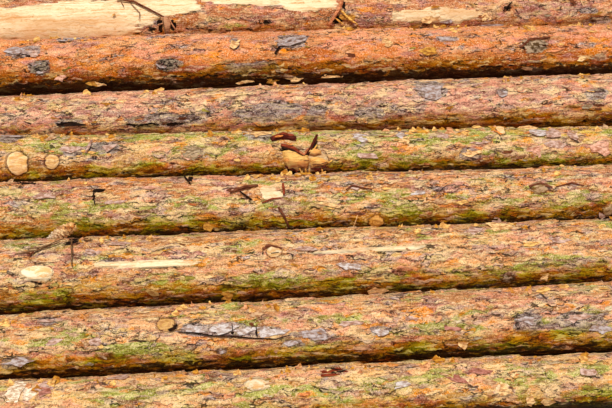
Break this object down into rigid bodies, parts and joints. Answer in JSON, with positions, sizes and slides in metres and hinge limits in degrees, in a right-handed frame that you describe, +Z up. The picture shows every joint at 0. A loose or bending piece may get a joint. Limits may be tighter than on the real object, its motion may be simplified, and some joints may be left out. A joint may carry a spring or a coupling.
{
  "type": "stack of logs",
  "caption": "Triangular stack of freshly cut pine logs with flaking bark and sawn ends, lying side by side in tiers.",
  "frame": {"origin": "on the floor, under the middle of the stack's bounding box", "axes": "+X along the logs, -Y towards the front slope, +Z up"},
  "size_m": [3.0586, 1.4251, 1.0619],
  "materials": {
    "bark": "rough flaking orange-brown pine bark, pale growth rings on the sawn ends",
    "green_bark": "rough flaking pine bark with green and pink patches, pale growth rings on the sawn ends",
    "peeled_wood": "partly peeled pale wood with bark remnants, pale growth rings on the sawn ends"
  },
  "bodies": {
    "root": {"tier_1_log_1": "green_bark", "tier_1_log_2": "bark", "tier_1_log_3": "bark", "tier_1_log_4": "bark", "tier_1_log_5": "bark", "tier_1_log_6": "bark", "tier_1_log_7": "bark", "tier_1_log_8": "bark", "tier_2_log_1": "green_bark", "tier_2_log_2": "bark", "tier_2_log_3": "bark", "tier_2_log_4": "bark", "tier_2_log_5": "bark", "tier_2_log_6": "bark", "tier_2_log_7": "bark", "tier_3_log_1": "green_bark", "tier_3_log_2": "bark", "tier_3_log_3": "bark", "tier_3_log_4": "bark", "tier_3_log_5": "bark", "tier_3_log_6": "bark", "tier_4_log_1": "green_bark", "tier_4_log_2": "bark", "tier_4_log_3": "bark", "tier_4_log_4": "bark", "tier_4_log_5": "bark", "tier_5_log_1": "green_bark", "tier_5_log_2": "bark", "tier_5_log_3": "bark", "tier_5_log_4": "bark", "tier_6_log_1": "bark", "tier_6_log_2": "bark", "tier_6_log_3": "bark", "tier_7_log_1": "bark", "tier_7_log_2": "bark", "tier_8_log_1": "peeled_wood"}
  },
  "joints": []
}
